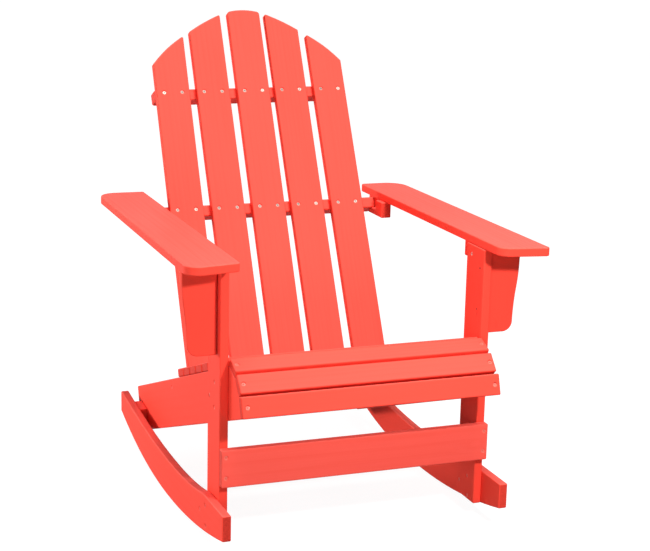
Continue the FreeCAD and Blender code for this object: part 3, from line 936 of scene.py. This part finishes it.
    def _thread(self, tree: bpy.types.NodeTree, get: bpy.types.bpy_prop_collection,
                middle: bpy.types.NodeSocket, body: bpy.types.NodeSocket) -> bpy.types.NodeSocket:
        """Makes the thread, a thin ridge wound round the shank.

        Args:
            tree: the screw tree.
            get: the group's inputs.
            middle: the depth of the shank's middle.
            body: the shank's length.

        Returns:
            The thread.
        """
        height = maths(tree, "MULTIPLY", body, self.thread_share)
        coil = node(tree, "GeometryNodeCurveSpiral")
        coil.inputs["Resolution"].default_value = self.coil_steps
        link(tree, maths(tree, "DIVIDE", height, get["Thread Pitch"]), coil.inputs["Rotations"])
        link(tree, get["Shank Radius"], coil.inputs["Start Radius"])
        link(tree, get["Shank Radius"], coil.inputs["End Radius"])
        link(tree, height, coil.inputs["Height"])
        ridge = node(tree, "GeometryNodeCurvePrimitiveCircle")
        ridge.inputs["Resolution"].default_value = self.ridge_sides
        ridge.inputs["Radius"].default_value = self.ridge_radius
        wound = node(tree, "GeometryNodeCurveToMesh")
        wound.inputs["Fill Caps"].default_value = True
        link(tree, coil.outputs["Curve"], wound.inputs["Curve"])
        link(tree, ridge.outputs["Curve"], wound.inputs["Profile Curve"])
        first = maths(tree, "SUBTRACT", middle, maths(tree, "MULTIPLY", body, self.thread_start))
        return self._lowered(tree, wound.outputs["Mesh"], first)

    def seat_points(self, name: str, seats: list[Seat]) -> bpy.types.Object:
        """Makes a mesh of loose points that carry the drive direction.

        Args:
            name: the object's name.
            seats: the screws' seats.

        Returns:
            The object, linked to the scene.
        """
        mesh = bpy.data.meshes.new(name)
        mesh.from_pydata([seat.head for seat in seats], [], [])
        drive = mesh.attributes.new("drive", "FLOAT_VECTOR", "POINT")
        for item, seat in zip(drive.data, seats):
            item.vector = seat.axis
        points = bpy.data.objects.new(name, mesh)
        bpy.context.scene.collection.objects.link(points)
        return points

    def grow(self, tree: bpy.types.NodeTree, name: str, seats: list[Seat], length: float,
             steel: bpy.types.Material) -> bpy.types.Object:
        """Runs the tree on one set of seats and keeps the result as a plain mesh.

        Args:
            tree: the screw tree.
            name: the new piece's name.
            seats: where the screws sit.
            length: the screws' length.
            steel: their material.

        Returns:
            The new piece.
        """
        points = self.seat_points(name + "_seats", seats)
        modifier = points.modifiers.new("screws", "NODES")
        modifier.node_group = tree
        values = {"Length": length, "Steel": steel}
        for item in tree.interface.items_tree:
            if item.item_type == "SOCKET" and item.in_out == "INPUT" and item.name in values:
                modifier[item.identifier] = values[item.name]
        graph = bpy.context.evaluated_depsgraph_get()
        mesh = bpy.data.meshes.new_from_object(points.evaluated_get(graph))
        bpy.data.objects.remove(points)
        mesh.name = name
        piece = bpy.data.objects.new(name, mesh)
        bpy.context.scene.collection.objects.link(piece)
        return piece

    def build(self, nodes: dict[str, bpy.types.Object]) -> None:
        """Replaces every screw node by detailed screws.

        Args:
            nodes: the frame's objects by node name.
        """
        tree = self.tree()
        steels = {kind: self.steel.material(kind) for kind in Steel}
        for name in sorted(name for name in nodes if name.endswith(FASTENERS)):
            seats = self.read_seats(nodes[name])
            length = seats[0].length
            steel = steels[Steel.BRIGHT if name in self.bare else Steel.DULLED]
            if seats[0].through:
                length = length / 2.0
                seats += [Seat(near.head + near.axis * near.length, -near.axis, near.length, True)
                          for near in seats]
            piece = self.grow(tree, name.replace("_screws", "_detail").replace("_bolts", "_bolt_detail"),
                              seats, length, steel)
            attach(piece, "root")
            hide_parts(name)
            LOG.info("screws %s: %d, %.1f mm long", name, len(seats), length * 1000.0)


@dataclass(frozen=True)
class Lamp:
    """A rectangular lamp: its name, where it hangs, its width and height, and its power in watts."""

    name: str
    place: Triple
    size: Span
    power: float


@dataclass
class Studio:
    """Pale floor, one small and four broad lamps, and the camera of the photo."""

    focal_pixels: float = 1658.7
    centre: Span = (308.3, 286.8)
    place: Triple = (-1.1672, -3.1692, 1.2621)
    azimuth: float = math.radians(-20.524)
    pitch: float = math.radians(13.991)
    roll: float = math.radians(1.221)
    width: int = 650
    height: int = 551
    film_width: float = 36.0
    clip_end: float = 200.0
    floor_half: float = 14.0
    floor_tone: float = 0.18
    floor_white: Span = (0.94, 1.0)
    floor_fade: Span = (0.9, 3.0)
    world_light: float = 0.12
    lamp_target: Triple = (0.0, 0.0, 0.45)
    lamps: tuple[Lamp, ...] = (
        Lamp("key", (0.28, -1.60, 1.20), (0.10, 0.10), 22.5),
        Lamp("fill", (-3.0, -0.15, 0.42), (2.2, 0.7), 34.0),
        Lamp("rear", (-2.2, 1.9, 0.65), (1.2, 0.8), 60.0),
        Lamp("overhead", (-0.1, -0.7, 3.1), (1.8, 1.8), 84.0),
        Lamp("low front", (-0.7, -2.4, 0.3), (1.2, 0.5), 12.0))

    def camera(self) -> None:
        """Sets the camera where the photo was taken."""
        data = bpy.data.cameras.new("view")
        data.sensor_fit = "HORIZONTAL"
        data.sensor_width = self.film_width
        data.lens = self.focal_pixels * data.sensor_width / self.width
        data.shift_x = (self.width / 2 - self.centre[0]) / self.width
        data.shift_y = (self.centre[1] - self.height / 2) / self.width
        data.clip_end = self.clip_end
        right = Vector((math.cos(self.azimuth), math.sin(self.azimuth), 0.0))
        look = Vector((-math.sin(self.azimuth) * math.cos(self.pitch),
                       math.cos(self.azimuth) * math.cos(self.pitch), -math.sin(self.pitch)))
        up = right.cross(look)
        side = right * math.cos(self.roll) + up * math.sin(self.roll)
        top = up * math.cos(self.roll) - right * math.sin(self.roll)
        turned = Matrix((side, top, -look)).transposed().to_4x4()
        camera = bpy.data.objects.new("view", data)
        camera.matrix_world = Matrix.Translation(self.place) @ turned
        bpy.context.scene.collection.objects.link(camera)
        bpy.context.scene.camera = camera

    def _seen(self, tree: bpy.types.NodeTree) -> bpy.types.NodeSocket:
        """Masks the rays that show a thing, from the camera, in a reflection or through glass.

        Args:
            tree: the tree of a material or the world.

        Returns:
            The mask.
        """
        path = node(tree, "ShaderNodeLightPath")
        seen = maths(tree, "MAXIMUM", path.outputs["Is Camera Ray"], path.outputs["Is Glossy Ray"])
        return maths(tree, "MAXIMUM", seen, path.outputs["Is Transmission Ray"])

    def _pale(self) -> bpy.types.Material:
        """Makes the floor's material, matt to the light and white to the eye.

        Returns:
            The material.
        """
        made = bpy.data.materials.new("pale floor")
        made.use_nodes = True
        tree = made.node_tree
        tree.nodes.clear()
        matt = node(tree, "ShaderNodeBsdfDiffuse")
        matt.inputs["Color"].default_value = (self.floor_tone, self.floor_tone, self.floor_tone, 1.0)
        coords = node(tree, "ShaderNodeTexCoord")
        away = node(tree, "ShaderNodeVectorMath", operation="LENGTH")
        link(tree, coords.outputs["Object"], away.inputs[0])
        near, far = self.floor_white
        paler = maths(tree, "MULTIPLY", ramp(tree, away.outputs["Value"], self.floor_fade), far - near)
        glow = node(tree, "ShaderNodeEmission")
        white = maths(tree, "ADD", near, paler)
        link(tree, maths(tree, "MULTIPLY", self._seen(tree), white), glow.inputs["Strength"])
        both = node(tree, "ShaderNodeAddShader")
        link(tree, matt.outputs[0], both.inputs[0])
        link(tree, glow.outputs[0], both.inputs[1])
        out = node(tree, "ShaderNodeOutputMaterial")
        link(tree, both.outputs[0], out.inputs["Surface"])
        return made

    def floor(self) -> None:
        """Lays a pale floor that reads as white and keeps the chair's shadow."""
        half = self.floor_half
        corners = [(-half, -half, 0), (half, -half, 0), (half, half, 0), (-half, half, 0)]
        mesh = bpy.data.meshes.new("floor")
        mesh.from_pydata(corners, [], [(0, 1, 2, 3)])
        mesh.materials.append(self._pale())
        floor = bpy.data.objects.new("floor", mesh)
        bpy.context.scene.collection.objects.link(floor)

    def hang(self, lamp: Lamp) -> None:
        """Hangs one lamp aimed at the chair.

        Args:
            lamp: the lamp.
        """
        data = bpy.data.lights.new(lamp.name, "AREA")
        data.shape = "RECTANGLE"
        data.size, data.size_y = lamp.size
        data.energy = lamp.power
        hung = bpy.data.objects.new(lamp.name, data)
        hung.visible_camera = False
        aim = (Vector(lamp.place) - Vector(self.lamp_target)).to_track_quat("Z", "Y")
        hung.matrix_world = Matrix.Translation(lamp.place) @ aim.to_matrix().to_4x4()
        bpy.context.scene.collection.objects.link(hung)

    def world(self) -> None:
        """Sets an even pale surround that shows as white behind the chair."""
        world = bpy.data.worlds.new("studio")
        bpy.context.scene.world = world
        world.use_nodes = True
        tree = world.node_tree
        back = tree.nodes["Background"]
        back.inputs["Color"].default_value = (1.0, 1.0, 1.0, 1.0)
        shown = maths(tree, "MULTIPLY", self._seen(tree), 1.0 - self.world_light)
        link(tree, maths(tree, "ADD", self.world_light, shown), back.inputs["Strength"])

    def build(self) -> None:
        """Sets the whole studio."""
        self.camera()
        self.floor()
        for lamp in self.lamps:
            self.hang(lamp)
        self.world()
        bpy.context.scene.view_settings.view_transform = "Standard"
        LOG.info("studio with %d lamps", len(self.lamps))


def main() -> None:
    """Loads the frame, dresses it and sets the studio."""
    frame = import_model()
    nodes = frame["nodes"]
    kit = ShaderKit()
    Boards().dress(kit, nodes)
    Screws().build(nodes)
    Studio().build()


if __name__ == "__main__":
    main()
